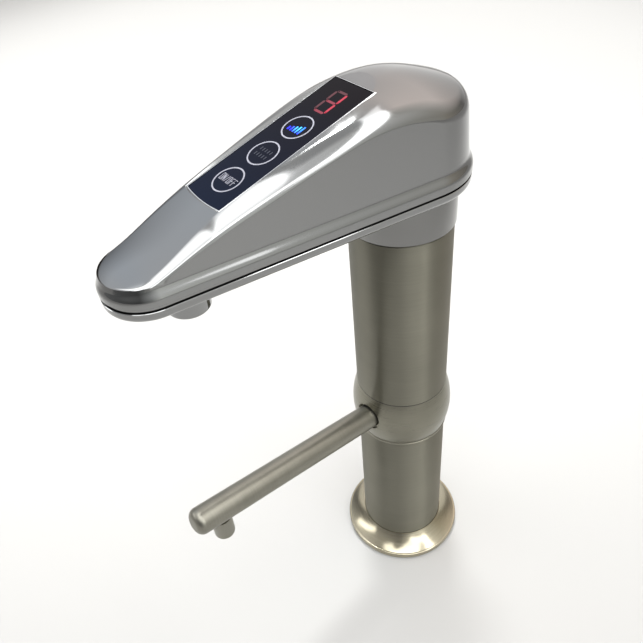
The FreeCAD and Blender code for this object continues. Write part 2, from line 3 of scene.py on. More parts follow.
import bmesh
import bpy
import numpy as np
from mathutils import Matrix, Vector


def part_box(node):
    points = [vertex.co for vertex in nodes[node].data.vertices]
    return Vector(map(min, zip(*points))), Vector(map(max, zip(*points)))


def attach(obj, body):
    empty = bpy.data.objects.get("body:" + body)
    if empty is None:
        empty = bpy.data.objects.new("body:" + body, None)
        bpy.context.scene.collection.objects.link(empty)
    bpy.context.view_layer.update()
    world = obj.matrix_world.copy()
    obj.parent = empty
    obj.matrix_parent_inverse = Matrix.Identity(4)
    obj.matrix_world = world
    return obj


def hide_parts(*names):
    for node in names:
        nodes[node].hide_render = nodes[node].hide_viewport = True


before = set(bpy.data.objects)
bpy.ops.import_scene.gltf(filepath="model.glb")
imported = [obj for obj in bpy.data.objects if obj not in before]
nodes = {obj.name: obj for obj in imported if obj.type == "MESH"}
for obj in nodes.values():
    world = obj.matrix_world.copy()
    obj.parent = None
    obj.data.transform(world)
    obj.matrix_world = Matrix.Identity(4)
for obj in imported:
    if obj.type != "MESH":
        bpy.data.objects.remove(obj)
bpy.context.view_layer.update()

mm = 0.001

# Base gasket
# A flat die-cut ring of black nitrile rubber between the flange and the deck.
# It stands back a little from the flange's rim, so it shows as a dark line.


def linear_colour(code):
    """Turns an sRGB hex code into the linear colour that a socket takes."""
    parts = [int(code[k:k + 2], 16) / 255 for k in (1, 3, 5)]
    return [c / 12.92 if c <= 0.04045 else ((c + 0.055) / 1.055) ** 2.4 for c in parts] + [1.0]


def feed(node, sockets):
    """Gives a node's sockets their values, or links from other nodes."""
    for key, value in sockets.items():
        if isinstance(value, bpy.types.NodeSocket):
            node.id_data.links.new(value, node.inputs[key])
        else:
            node.inputs[key].default_value = value


def add(tree, kind, sockets=None, **settings):
    """Adds a node with its settings and its sockets' values or links."""
    made = tree.nodes.new(kind)
    for name, value in settings.items():
        setattr(made, name, value)
    feed(made, sockets or {})
    return made


def finish(name, colour, rough, metal=0.0, **more):
    """A material with its main surface shader, whose constants sit on the shader itself."""
    made = bpy.data.materials.new(name)
    made.use_nodes = True
    tree = made.node_tree
    tree.nodes.clear()
    surface = add(tree, "ShaderNodeBsdfPrincipled", {
        "Base Color": linear_colour(colour), "Roughness": rough, "Metallic": metal})
    feed(surface, {socket.replace("_", " "): value for socket, value in more.items()})
    add(tree, "ShaderNodeOutputMaterial", {"Surface": surface.outputs["BSDF"]})
    return made, tree, surface


def grain(tree, size, stretch=(1, 1, 1), detail=3.0, turn=(0, 0, 0)):
    """Noise on the piece's own coordinates, with grains of a real size in metres."""
    place = add(tree, "ShaderNodeTexCoord")
    turned = add(tree, "ShaderNodeMapping", {
        "Vector": place.outputs["Object"], "Rotation": turn}, vector_type="TEXTURE")
    sized = add(tree, "ShaderNodeMapping", {
        "Vector": turned.outputs["Vector"], "Scale": [1 / (size * s) for s in stretch]})
    noise = add(tree, "ShaderNodeTexNoise", {
        "Vector": sized.outputs["Vector"], "Scale": 1.0, "Detail": detail})
    return noise.outputs["Fac"]


def spread(tree, factor, low, high, start=0.3, end=0.7):
    """Maps a pattern's middle range onto a range of values."""
    ranged = add(tree, "ShaderNodeMapRange", {
        "Value": factor, "From Min": start, "From Max": end, "To Min": low, "To Max": high})
    return ranged.outputs["Result"]


def two_tone(tree, factor, dark, light, start=0.3, end=0.7):
    """Colour that runs between two hex colours with a pattern."""
    ramp = add(tree, "ShaderNodeValToRGB", {"Fac": factor})
    ramp.color_ramp.elements[0].position = start
    ramp.color_ramp.elements[0].color = linear_colour(dark)
    ramp.color_ramp.elements[1].position = end
    ramp.color_ramp.elements[1].color = linear_colour(light)
    return ramp.outputs["Color"]


def relief(tree, surface, height, depth):
    """Bump of a real depth in metres."""
    bump = add(tree, "ShaderNodeBump", {"Height": height, "Distance": depth, "Strength": 1.0})
    feed(surface, {"Normal": bump.outputs["Normal"]})


def rounded(corners, steps=5):
    """Outline of (radius, height) points with the corners rounded by each one's third number."""
    points = []
    count = len(corners)
    for k, (x, y, radius) in enumerate(corners):
        here = Vector((x, y))
        if radius == 0:
            points.append((x, y))
            continue
        back = (Vector(corners[k - 1][:2]) - here).normalized()
        ahead = (Vector(corners[(k + 1) % count][:2]) - here).normalized()
        half = back.angle(ahead) / 2
        centre = here + (back + ahead).normalized() * (radius / sin(half))
        first = here + back * (radius / tan(half)) - centre
        last = here + ahead * (radius / tan(half)) - centre
        sweep = pi - 2 * half
        for i in range(steps + 1):
            share = i / steps
            arm = first * sin((1 - share) * sweep) + last * sin(share * sweep)
            points.append(tuple(centre + arm.normalized() * radius))
    return points


def arc_between(start, middle, end, steps):
    """Points of the arc through three points of a half section, without its two ends."""
    (ax, ay), (bx, by), (cx, cy) = start, middle, end
    d = 2 * (ax * (by - cy) + bx * (cy - ay) + cx * (ay - by))
    a2, b2, c2 = ax * ax + ay * ay, bx * bx + by * by, cx * cx + cy * cy
    centre = Vector(((a2 * (by - cy) + b2 * (cy - ay) + c2 * (ay - by)) / d,
                     (a2 * (cx - bx) + b2 * (ax - cx) + c2 * (bx - ax)) / d))
    first = Vector(start) - centre
    last = Vector(end) - centre
    sweep = first.angle_signed(last)
    arms = [Matrix.Rotation(-sweep * k / steps, 2) @ first for k in range(1, steps)]
    return [tuple(centre + arm) + (0,) for arm in arms]


def mesh_of(name, points, faces=()):
    """Mesh with the given points and faces."""
    shape = bpy.data.meshes.new(name)
    shape.from_pydata(points, [], faces)
    return shape


def bands(rows, count, total):
    """Quads between rings of points, one after the other; past the last stands the first."""
    faces = []
    for row in range(rows):
        low, high = row * count, (row + 1) * count % total
        for k in range(count):
            n = (k + 1) % count
            faces.append((low + k, low + n, high + n, high + k))
    return faces


def turned_mesh(name, outline, turns=160, closed=True, place=Matrix.Identity(4)):
    """Turns a half section round Z; an open outline starts and ends on the axis."""
    around = np.arange(turns) * 2 * pi / turns
    r = np.array([p[0] for p in outline])
    z = np.array([p[1] for p in outline])
    grid = np.stack([np.outer(r, np.cos(around)), np.outer(r, np.sin(around)),
                     np.outer(z, np.ones(turns))], axis=-1).reshape(-1, 3)
    rows = len(outline) if closed else len(outline) - 1
    shape = mesh_of(name, grid.tolist(), bands(rows, turns, len(grid)))
    along = np.concatenate([[0], np.cumsum(np.hypot(np.diff(r), np.diff(z)))])
    layer = shape.uv_layers.new(name="along_and_round")
    step = 2 * pi * float(r.max()) / turns
    spots = []
    for i in range(rows):
        here = along[i]
        far = along[i + 1] if i + 1 < len(along) else here + abs(z[0] - z[i]) + abs(r[0] - r[i])
        for k in range(turns):
            left, right = k * step, (k + 1) * step
            spots += [here, left, here, right, far, right, far, left]
    layer.data.foreach_set("uv", spots)
    shape.transform(place)
    return shape


def tidy_mesh(shape, crease=30):
    """Merges doubles, turns faces outwards and keeps only real edges sharp."""
    work = bmesh.new()
    work.from_mesh(shape)
    bmesh.ops.remove_doubles(work, verts=work.verts, dist=2e-6)
    bmesh.ops.dissolve_degenerate(work, edges=work.edges, dist=1e-7)
    bmesh.ops.recalc_face_normals(work, faces=work.faces)
    work.to_mesh(shape)
    work.free()
    shape.polygons.foreach_set("use_smooth", [True] * len(shape.polygons))
    shape.set_sharp_from_angle(angle=radians(crease))
    return shape


def put(name, data):
    """Puts an object in the scene, with its mesh, light or camera."""
    made = bpy.data.objects.new(name, data)
    bpy.context.scene.collection.objects.link(made)
    return made


def piece(shape, material, body, stands_for, crease=30):
    """Puts a finished mesh on its body, in the place of the solids that it stands for."""
    made = put(shape.name, tidy_mesh(shape, crease))
    shape.materials.clear()
    shape.materials.append(material)
    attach(made, body)
    if stands_for:
        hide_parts(*stands_for)


def turned_piece(name, outline, material, body, stands_for, slot, **options):
    """A piece that is a turned mesh and nothing more."""
    piece(turned_mesh(name, outline, **options), material, body, stands_for)


def tube_outline(inner, outer, low, high, edge):
    """Half section of a plain tube whose four edges are eased by a radius."""
    return rounded([(inner, low, edge), (outer, low, edge), (outer, high, edge),
                    (inner, high, edge)])


# Nitrile rubber: matt, near black, with the fine bloom that moulding powder leaves.
black_nitrile, tree, surface = finish("black_nitrile", "#17171a", 0.62)
feed(surface, {"Base Color": two_tone(tree, grain(tree, 0.8 * mm), "#111113", "#212123")})
relief(tree, surface, grain(tree, 0.25 * mm), 0.02 * mm)

clearance = 0.05 * mm
gasket_edge = 0.25 * mm
low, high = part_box("base_gasket")
gasket_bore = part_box("mounting_insert")[1].x + clearance
turned_piece("gasket_ring", tube_outline(gasket_bore, high.x, low.z, high.z, gasket_edge),
             black_nitrile, "pedestal", ["base_gasket"], "black_rubber")

# Base flange
# A spun stainless skirt with a dished cone and a rolled rim, polished after spinning.
# It slides down the column and hides the deck hole.


def maths(tree, operation, a, b):
    """Output of a node that works on two numbers."""
    return add(tree, "ShaderNodeMath", {0: a, 1: b}, operation=operation).outputs[0]


def steel(name, dark, light, low_rough, high_rough, run, pull, across=1, turn=(0, 0, 0), depth=0.0):
    """Abraded stainless: fine lines that run round the piece smear its reflections along it."""
    line = 0.5 * mm
    patch = 22 * mm
    made, tree, surface = finish(name, light, low_rough, 1.0, Anisotropic=pull)
    lines = grain(tree, line, (run / line, run / line, 1), 4.0, turn)
    cloud = grain(tree, patch, (across, across, 1), 2.0, turn)
    halved = maths(tree, "MULTIPLY", maths(tree, "ADD", lines, cloud), 0.5)
    along = add(tree, "ShaderNodeTangent", direction_type="UV_MAP", uv_map="along_and_round")
    feed(surface, {"Base Color": two_tone(tree, halved, dark, light),
                   "Roughness": spread(tree, lines, low_rough, high_rough),
                   "Tangent": along.outputs["Tangent"]})
    if depth:
        relief(tree, surface, lines, depth)
    return made


# Spun stainless: brighter and smoother than the tubes, with faint rings from the polishing mop.
spun_stainless = steel("spun_stainless", "#a69f8a", "#b6af9a", 0.16, 0.2, 14 * mm, 0.3)

low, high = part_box("base_flange")
column_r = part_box("lower_column")[1].x
bore = column_r + clearance
rim_top = low.z + 3.3 * mm
rim_round = 1.2 * mm
rim_roll = 0.7 * rim_round
skin = 2.4 * mm
under_edge = 0.3 * mm
cone_foot = (high.x - rim_round, rim_top)
cone_head = (column_r + 0.5 * mm, high.z)
dish = 0.4 * mm
middle = ((cone_foot[0] + cone_head[0]) / 2 - dish, (cone_foot[1] + cone_head[1]) / 2 - dish)
corners = [(bore, low.z, 0), (bore, high.z, 0.15 * mm), cone_head + (0,)]
corners += arc_between(cone_head, middle, cone_foot, 24)
corners += [cone_foot + (0,), (high.x, rim_top, rim_roll), (high.x, low.z, 0.25 * mm),
            (high.x - skin, low.z, under_edge), (high.x - skin, rim_top - skin, 0.6 * mm),
            (bore + skin, high.z - 2 * skin, 1.5 * mm), (bore + skin, low.z, under_edge)]
turned_piece("flange_skirt", rounded(corners), spun_stainless, "pedestal", ["base_flange"],
             "satin_steel", turns=192)

# Mounting insert
# A turned brass plug in the foot of the column, threaded for the hollow shank below the deck.
# The two hoses come up through it.


def lathe_metal(name, colour, dark, light, size, run, low_rough, high_rough):
    """Metal as it comes off the lathe, with fine feed lines round it."""
    made, tree, surface = finish(name, colour, 0.3, 1.0)
    lines = grain(tree, size, (run, run, 1))
    feed(surface, {"Base Color": two_tone(tree, lines, dark, light),
                   "Roughness": spread(tree, lines, low_rough, high_rough)})
    return made


# Brass: yellow, turned, with fine feed lines round it.
turned_brass = lathe_metal("turned_brass", "#b08d4c", "#937238", "#bb9a5c",
                           0.35 * mm, 40, 0.24, 0.4)

low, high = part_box("mounting_insert")
thread_r = 16.0 * mm
thread_depth = 0.9 * mm
thread_pitch = 1.5 * mm
thread_length = 14.0 * mm
thread_ends = 0.4 * mm
thread_reach = thread_r + 0.1 * mm
hose_bore = 17.45 * mm
gasket_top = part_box("base_gasket")[1].z
plug_r = column_r - 1.55 * mm
edge = 0.3 * mm
outline = rounded([(high.x, low.z, edge), (high.x, gasket_top, edge), (plug_r, gasket_top, 0),
                   (plug_r, high.z, edge), (hose_bore, high.z, edge),
                   (hose_bore, low.z + thread_length, 0)])
rows_per_turn = 6
thread_rows = round(thread_length / thread_pitch * rows_per_turn)
outline += [(thread_r, low.z + thread_length * (1 - k / thread_rows))
            for k in range(thread_rows + 1)]
insert = turned_mesh("threaded_insert", outline, turns=144)
for point in insert.vertices:
    spot = point.co
    inside = hypot(spot.x, spot.y) < thread_reach
    if inside and low.z + thread_ends < spot.z < low.z + thread_length - thread_ends:
        turn = spot.z / thread_pitch - atan2(spot.y, spot.x) / (2 * pi)
        groove = 1 - abs(2 * (turn % 1) - 1)
        scale = 1 + thread_depth * groove / thread_r
        spot.x *= scale
        spot.y *= scale
piece(insert, turned_brass, "pedestal", ["mounting_insert"], crease=50)

# Column tubes
# Two lengths of 50 mm stainless tube, abraded on a lathe so that the lines run round them.
# The lower one holds the swivel core, the upper one stands on the core's washer.

# Brushed stainless: olive grey, and the lines smear every reflection into a tall band.
brushed_stainless = steel("brushed_stainless", "#77756a", "#838175", 0.42, 0.48, 24 * mm, 0.95,
                          across=2, depth=0.0012 * mm)

wall = 1.5 * mm
tube_edge = 0.2 * mm
for node in ("lower_column", "upper_column"):
    low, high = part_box(node)
    turned_piece(node + "_tube", tube_outline(high.x - wall, high.x, low.z, high.z, tube_edge),
                 brushed_stainless, "pedestal", [node], "brushed_steel", turns=192)

# Pieces inside the column
# The core, its seals and washers, the socket sleeve, the water tubes, the bush and the stop pin.
# They are plain turned or moulded parts that only show when the faucet is taken apart.


def mottled(name, colour, rough, dark, light, size, **more):
    """A material whose colour varies a little, in grains of a real size."""
    made, tree, surface = finish(name, colour, rough, **more)
    feed(surface, {"Base Color": two_tone(tree, grain(tree, size), dark, light)})
    return made


def finish_nodes(material, *names):
    """Gives a material to solids that are shown as the CAD made them."""
    for name in names:
        for slot in nodes[name].material_slots:
            slot.material = material


# Acetal: milk white, smooth, with the faint sheen of a moulded bearing plastic.
white_acetal = mottled("white_acetal", "#e4e2da", 0.38, "#dcdad1", "#ebe9e2", 6 * mm,
                       Subsurface_Weight=0.1)

# Machined stainless: the plain grey of a turned part left as it came off the lathe.
machined_stainless = lathe_metal("machined_stainless", "#8f8f8b", "#7d7d79", "#9b9b96",
                                 0.3 * mm, 30, 0.22, 0.36)

finish_nodes(turned_brass, "swivel_core", "swivel_hub", "outlet_nut")
finish_nodes(black_nitrile, "core_seals", "hub_seal", "head_seal", "ring_washers")
finish_nodes(white_acetal, "column_bush", "thrust_washer", "board_connector")
finish_nodes(machined_stainless, "column_socket", "riser_tube", "feed_tube", "stop_pin",
             "spigot_clip", "head_tube")

# Side spout
# A barrel-shaped stainless ring turns round the core, and a capped tube is set in its recess.
# A short nozzle is brazed under the tube's end.

low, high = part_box("spout_ring")
bore = column_r - 3.0 * mm
belly_r = 27.9 * mm
belly_z = low.z + 15.6 * mm
foot_h = 1.0 * mm
foot_r = column_r + 1.0 * mm
foot_edge = 0.25 * mm
bore_edge = 0.2 * mm
foot_top = (foot_r, low.z + foot_h)
fillet = (column_r + 0.68 * mm, low.z + 1.4 * mm)
belly_low = (column_r + 0.75 * mm, low.z + foot_h + 0.9 * mm)
belly_top = (column_r - 0.1 * mm, high.z)
corners = [(bore, low.z, bore_edge), (foot_r, low.z, foot_edge), foot_top + (foot_edge,)]
corners += arc_between(foot_top, fillet, belly_low, 6)
corners += [belly_low + (0,)]
corners += arc_between(belly_low, (belly_r, belly_z), belly_top, 40)
corners += [belly_top + (0,), (bore, high.z, bore_edge)]
ring = turned_mesh("barrel_ring", rounded(corners), turns=240)

spout_r = 6.75 * mm
spout_wall = 1.25 * mm
spout_azimuth = radians(5.56)
spout_tilt = radians(8.98)
spout_height = 118.9 * mm
recess_r = 8.0 * mm
recess_start = 25.4 * mm
recess_end = 40 * mm
spout_root = 24.0 * mm
spout_length = 142.5 * mm
cap_round = 4.0 * mm
tip_distance = 128.4 * mm
# Turns the lathe's Z axis onto the tube's own axis.
along_tube = (Matrix.Translation((0, 0, spout_height)) @ Matrix.Rotation(spout_azimuth, 4, "Z")
              @ Matrix.Rotation(pi / 2 - spout_tilt, 4, "X"))


def plug(name, radius, low, high, turns, place):
    """A plain closed cylinder to cut with."""
    outline = [(0, low), (radius, low), (radius, high), (0, high)]
    return turned_mesh(name, outline, turns, closed=False, place=place)


def cut_from(shape, *cutters):
    """Takes closed meshes out of a closed mesh and returns the plain result under its name."""
    name = shape.name
    body = put("cut_body", tidy_mesh(shape))
    tools = [put("cut_tool", tidy_mesh(cutter)) for cutter in cutters]
    for tool in tools:
        step = body.modifiers.new("cut", "BOOLEAN")
        step.object = tool
        step.solver = "EXACT"
    evaluated = body.evaluated_get(bpy.context.evaluated_depsgraph_get())
    result = bpy.data.meshes.new_from_object(evaluated)
    for used in tools + [body]:
        bpy.data.objects.remove(used)
    for used in cutters + (shape,):
        bpy.data.meshes.remove(used)
    result.name = name
    return result


# Satin stainless: the ring is polished over its belly, so it keeps a soft highlight.
satin_stainless = steel("satin_stainless", "#7d7b6f", "#89877b", 0.27, 0.31, 20 * mm, 0.2)
ring = cut_from(ring, plug("recess", recess_r, recess_start, recess_end, 96, along_tube))
piece(ring, satin_stainless, "side_spout", ["spout_ring"], crease=40)

# The tube is abraded round its own axis, so its lines follow the tilted tube.
tube_stainless = steel("tube_stainless", "#86847a", "#929086", 0.36, 0.42, 12 * mm, 0.0,
                       turn=tuple(along_tube.to_euler()))
bore_r = spout_r - spout_wall
outline = rounded([(bore_r, spout_root, 0), (spout_r, spout_root, 0),
                   (spout_r, spout_length, cap_round), (0, spout_length, 0),
                   (0, spout_length - spout_wall, 0),
                   (bore_r, spout_length - spout_wall, cap_round - spout_wall)], 10)
side_tube = turned_mesh("capped_tube", outline, turns=96,
                        place=along_tube @ Matrix.Rotation(pi, 4, "Z"))
tip_place = along_tube @ Vector((0, 0, tip_distance))
tip_bore = 3.6 * mm
drill = plug("drill", tip_bore, -2 * spout_r, 0, 48, Matrix.Translation(tip_place))
side_tube = cut_from(side_tube, drill)
piece(side_tube, tube_stainless, "side_spout", ["side_tube"], crease=40)

nozzle_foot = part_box("tip_nozzle")[0].z
tip_r = 5.13 * mm
hidden_share = 0.86
hidden_top = tip_place.z - spout_r * hidden_share
outline = rounded([(tip_bore, nozzle_foot, 0.3 * mm), (tip_r, nozzle_foot, 1.2 * mm),
                   (tip_r, hidden_top, 0), (tip_bore, hidden_top, 0)], 8)
turned_piece("spout_tip", outline, tube_stainless, "side_spout", ["tip_nozzle"], "brushed_steel",
             turns=96, place=Matrix.Translation((tip_place.x, tip_place.y, 0)))

# Neck collar
# A turned brass collar, polished and nickel plated, with a spigot that runs in the column's bush.
# It carries the head, and its lower edge has a small bright bevel.


def chrome(name, colour, rough, wave):
    """Bright chrome on a polished casting: a clean mirror with a slow waviness under it."""
    made, tree, surface = finish(name, colour, rough, 1.0)
    feed(surface, {"Roughness": spread(tree, grain(tree, 9 * mm), rough * 0.8, rough * 1.25)})
    relief(tree, surface, grain(tree, 16 * mm, detail=1.0), wave)
    return made


# Chrome plate: neutral grey mirror, a shade darker than silver.
chrome_plate = chrome("chrome_plate", "#969797", 0.09, 0.01 * mm)

# Dark nickel: as bright as the head's chrome, but a shade darker.
dark_nickel = chrome("dark_nickel", "#868685", 0.08, 0.004 * mm)

low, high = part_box("neck_collar")
spigot_r = 18.95 * mm
collar_bore = 15.5 * mm
collar_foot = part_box("thrust_washer")[1].z + clearance
bevel = 0.7 * mm
edge = 0.15 * mm
outline = rounded([(collar_bore, low.z, edge), (spigot_r, low.z, edge), (spigot_r, collar_foot, 0),
                   (high.x - bevel, collar_foot, edge), (high.x, collar_foot + bevel, edge),
                   (high.x, high.z, edge), (collar_bore, high.z, edge)])
turned_piece("chrome_collar", outline, dark_nickel, "head", ["neck_collar"], "chrome", turns=192)

# Head plate
# A flat zinc plate, teardrop in plan, that closes the head from below. Its lower edge is rounded.
# Four countersunk screws hold it to the shell.

head_reach = 121.7 * mm
back_r = 31.2 * mm
nose_r = 18.4 * mm
side_steps = 70
back_steps = 80
nose_steps = 64


def teardrop_outline():
    """Plan points and outward normals of the head's widest outline, counted from above."""
    lean = asin((back_r - nose_r) / head_reach)
    places, normals = [], []

    def add_point(normal, radius, ahead):
        normals.append(normal)
        places.append((radius * normal[0], radius * normal[1] - ahead))

    def add_arc(first, sweep, steps, radius, ahead):
        for k in range(steps):
            angle = first + sweep * k / steps
            add_point((cos(angle), sin(angle)), radius, ahead)

    def add_side(normal, shares):
        for share in shares:
            add_point(normal, back_r + (nose_r - back_r) * share, head_reach * share)

    shares = [k / side_steps for k in range(side_steps)]
    add_arc(-lean, pi + 2 * lean, back_steps, back_r, 0)
    add_side((-cos(lean), -sin(lean)), shares)
    add_arc(pi + lean, pi - 2 * lean, nose_steps, nose_r, head_reach)
    add_side((cos(lean), -sin(lean)), [1 - share for share in shares])
    return np.array(places), np.array(normals)


plan, plan_normal = teardrop_outline()


def stacked_mesh(name, rings, capped=True):
    """Skins closed rings of equal point counts, one above the other, and caps the ends."""
    count = len(rings[0])
    points = np.concatenate(rings).tolist()
    faces = bands(len(rings) - 1, count, len(points))
    if capped:
        faces.append(tuple(range(count))[::-1])
        faces.append(tuple(range(len(points) - count, len(points))))
    return mesh_of(name, points, faces)


def at_height(outline, height):
    """Flat outline as a ring of points at one height."""
    return np.column_stack([outline, np.full(len(outline), height)])


def plan_ring(inset, height):
    """The head's outline pulled in evenly, at one height."""
    return at_height(plan - plan_normal * inset, height)


low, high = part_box("head_plate")
plate_bottom, plate_top = low.z, high.z
plate_inset = 0.2 * mm
plate_round = 2.6 * mm
plate_edge = 0.2 * mm
round_steps = 10
rings = []
for k in range(round_steps + 1):
    angle = pi / 2 * k / round_steps
    rings.append(plan_ring(plate_inset + plate_round * (1 - sin(angle)),
                           plate_bottom + plate_round * (1 - cos(angle))))
rings.append(plan_ring(plate_inset, plate_top - plate_edge))
rings.append(plan_ring(plate_inset + plate_edge, plate_top))
plate = stacked_mesh("teardrop_plate", rings)

screw_places = [(side * across * mm, -ahead * mm, plate_bottom)
                for across, ahead in ((19.4, 42.0), (14.4, 93.0)) for side in (1, -1)]
screw_head_r = 3.0 * mm
screw_head_h = 1.5 * mm
screw_shank_r = 1.5 * mm
hole_r = screw_shank_r + clearance
cut_low, cut_high = -1 * mm, 6 * mm
sink = [(0, cut_low), (screw_head_r + 1.05 * mm, cut_low), (hole_r, screw_head_h),
        (hole_r, cut_high), (0, cut_high)]
cutters = [turned_mesh("sink", sink, turns=48, closed=False, place=Matrix.Translation(place))
           for place in screw_places]
riser_hole_r = 6.5 * mm
outlet_y = -109.2 * mm
outlet_spigot_r = 7.0 * mm
for y, radius in ((0, riser_hole_r), (outlet_y, outlet_spigot_r + clearance)):
    cutters.append(plug("hole", radius, cut_low, cut_high, 64,
                        Matrix.Translation((0, y, plate_bottom))))
plate = cut_from(plate, *cutters)
piece(plate, chrome_plate, "head", ["head_plate"], crease=40)

# Screws
# Countersunk cross-head screws of stainless steel hold the plate to the shell.
# The collar's and the board's screws are shown as the CAD made them.


def named_tree(name, *sizes):
    """A geometry tree with places and named sizes in and one mesh out, and its inputs."""
    tree = bpy.data.node_groups.new(name, "GeometryNodeTree")
    tree.interface.new_socket("Places", in_out="INPUT", socket_type="NodeSocketGeometry")
    tree.interface.new_socket("Result", in_out="OUTPUT", socket_type="NodeSocketGeometry")
    for size in sizes:
        tree.interface.new_socket(size, in_out="INPUT", socket_type="NodeSocketFloat")
    return tree, tree.nodes.new("NodeGroupInput").outputs


def axes(tree, **parts):
    """Vector made of its X, Y and Z parts."""
    return add(tree, "ShaderNodeCombineXYZ", parts).outputs[0]


def moved(tree, mesh, **ways):
    """Mesh after a Translation and Rotation."""
    return add(tree, "GeometryNodeTransform", {"Geometry": mesh, **ways}).outputs[0]


def drum(tree, corners, radius, depth, lift=0.0):
    """Mesh of a plain cylinder, with its middle at a height."""
    made = add(tree, "GeometryNodeMeshCylinder", {
        "Vertices": corners, "Radius": radius, "Depth": depth})
    return moved(tree, made.outputs["Mesh"], Translation=axes(tree, Z=lift))


def block(tree, **sides):
    """Mesh of a plain box."""
    return add(tree, "GeometryNodeMeshCube", {"Size": axes(tree, **sides)}).outputs["Mesh"]


def boolean(tree, operation, meshes, sockets=None):
    """Union of meshes, or what they leave of the one that is given as Mesh 1."""
    made = add(tree, "GeometryNodeMeshBoolean", sockets, operation=operation)
    for mesh in meshes:
        tree.links.new(mesh, made.inputs["Mesh 2"])
    return made.outputs["Mesh"]


def on_places(tree, size, mesh, **ways):
    """Instances of a mesh on the given places."""
    return add(tree, "GeometryNodeInstanceOnPoints", {
        "Points": size["Places"], "Instance": mesh, **ways}).outputs["Instances"]


def end_tree(tree, geometry, material):
    """Turns instances into real geometry, gives it its finish and sends it out."""
    real = add(tree, "GeometryNodeRealizeInstances", {"Geometry": geometry}).outputs[0]
    dressed = add(tree, "GeometryNodeSetMaterial", {"Geometry": real, "Material": material})
    add(tree, "NodeGroupOutput", {"Result": dressed.outputs[0]})


def grown(name, tree, points, sizes):
    """Runs a geometry tree on a set of places and returns the plain mesh that it makes."""
    holder = put(name + "_holder", mesh_of(name + "_places", points))
    step = holder.modifiers.new("grow", "NODES")
    step.node_group = tree
    for item in tree.interface.items_tree:
        if item.in_out == "INPUT" and item.name in sizes:
            step[item.identifier] = sizes[item.name]
    evaluated = holder.evaluated_get(bpy.context.evaluated_depsgraph_get())
    shape = bpy.data.meshes.new_from_object(evaluated)
    shape.name = name
    holder.modifiers.remove(step)
    bpy.data.objects.remove(holder)
    return shape


tree, size = named_tree("cross_head_screw", "Head radius", "Shank radius", "Head height",
                        "Length", "Recess width", "Recess depth")
head = add(tree, "GeometryNodeMeshCone", {
    "Vertices": 40, "Radius Top": size["Shank radius"], "Radius Bottom": size["Head radius"],
    "Depth": size["Head height"]}).outputs["Mesh"]
half = maths(tree, "MULTIPLY", size["Length"], 0.5)
shank = drum(tree, 24, size["Shank radius"], size["Length"], half)
long_side = maths(tree, "MULTIPLY", size["Recess width"], 4.5)
deep = maths(tree, "MULTIPLY", size["Recess depth"], 2.0)
cross = [block(tree, X=long_side, Y=size["Recess width"], Z=deep),
         block(tree, X=size["Recess width"], Y=long_side, Z=deep)]
whole = boolean(tree, "UNION", [head, shank])
driven = boolean(tree, "DIFFERENCE", cross, {"Mesh 1": whole})
end_tree(tree, on_places(tree, size, driven), machined_stainless)
screws = grown("countersunk_screws", tree, screw_places, {
    "Head radius": screw_head_r, "Shank radius": screw_shank_r, "Head height": screw_head_h,
    "Length": 12 * mm, "Recess width": 0.75 * mm, "Recess depth": 1.0 * mm})
piece(screws, machined_stainless, "head", ["plate_screws"])
finish_nodes(machined_stainless, "collar_screws", "board_screws")

# Head shell
# A zinc casting, polished and chrome plated: a teardrop wall with a flared lip and a little
# draft, a crowned top, and a wide rolled shoulder between them. The touch panel lies in a pocket.

shell_foot = plate_top + 0.6 * mm
lip_h = 3.2 * mm
flare_h = 8.7 * mm
flare_inset = 1.9 * mm
draft = 0.0656
shoulder = 10.4 * mm
nose_shoulder = 3.0 * mm
shoulder_shrinks = (70 * mm, 132 * mm)
ridge_angle = radians(17)
ridge_soft = 0.3 * mm
ridge_fades = (-14 * mm, 38 * mm)
gap_inset = 1.0 * mm
gap_grows = 0.8 * mm
gap_over = 90 * mm
gap_start = 0.1
shell_wall = 2.5 * mm
crown_half = 40 * mm
panel_rise = 51.1 * mm
panel_nose_rise = 15.97 * mm
panel_fall = (panel_rise - panel_nose_rise) / head_reach
panel_height = plate_top + panel_rise
# Keeps the crown just under the height of the CAD's dome.
dome_room = 0.04 * mm
# Distance forward, height above the panel's plane and sag at 40 mm across, all in mm. The dome's
# stations are counted from the column's axis, and the nose's from the middle of the nose's arc.
dome_line = [(-46.0, -50.38, 21.5), (-30.0, -27.76, 21.5), (-14.0, -14.34, 21.5),
             (4.0, -3.95, 21.5), (17.0, 0.31, 20.5), (57.0, 2.4, 11.1)]
nose_line = [(-27.0, 0.8, 3.2), (-9.7, -1.6, 4.7), (5.3, -2.8, 10.6), (17.3, -2.9, 15.3),
             (30.3, -12.3, 15.3)]
station_s, station_rise, station_sag = np.vstack([
    np.array(dome_line) * mm, np.array(nose_line) * mm + (head_reach, 0, 0)]).T


def smooth_curve(x, y):
    """Function for the smooth curve through given points, a natural cubic spline."""
    n = len(x)
    step = np.diff(x)
    left = np.zeros((n, n))
    right = np.zeros(n)
    left[0, 0] = left[-1, -1] = 1
    for k in range(1, n - 1):
        left[k, k - 1:k + 2] = step[k - 1], 2 * (step[k - 1] + step[k]), step[k]
        right[k] = 6 * ((y[k + 1] - y[k]) / step[k] - (y[k] - y[k - 1]) / step[k - 1])
    bend = np.linalg.solve(left, right)

    def value(at):
        k = np.clip(np.searchsorted(x, at) - 1, 0, n - 2)
        step = x[k + 1] - x[k]
        a = (x[k + 1] - at) / step
        b = (at - x[k]) / step
        return (a * y[k] + b * y[k + 1]
                + ((a ** 3 - a) * bend[k] + (b ** 3 - b) * bend[k + 1]) * step ** 2 / 6)

    return value


middle_height = smooth_curve(
    station_s, panel_height - panel_fall * station_s + station_rise - dome_room)
middle_sag = smooth_curve(station_s, station_sag)


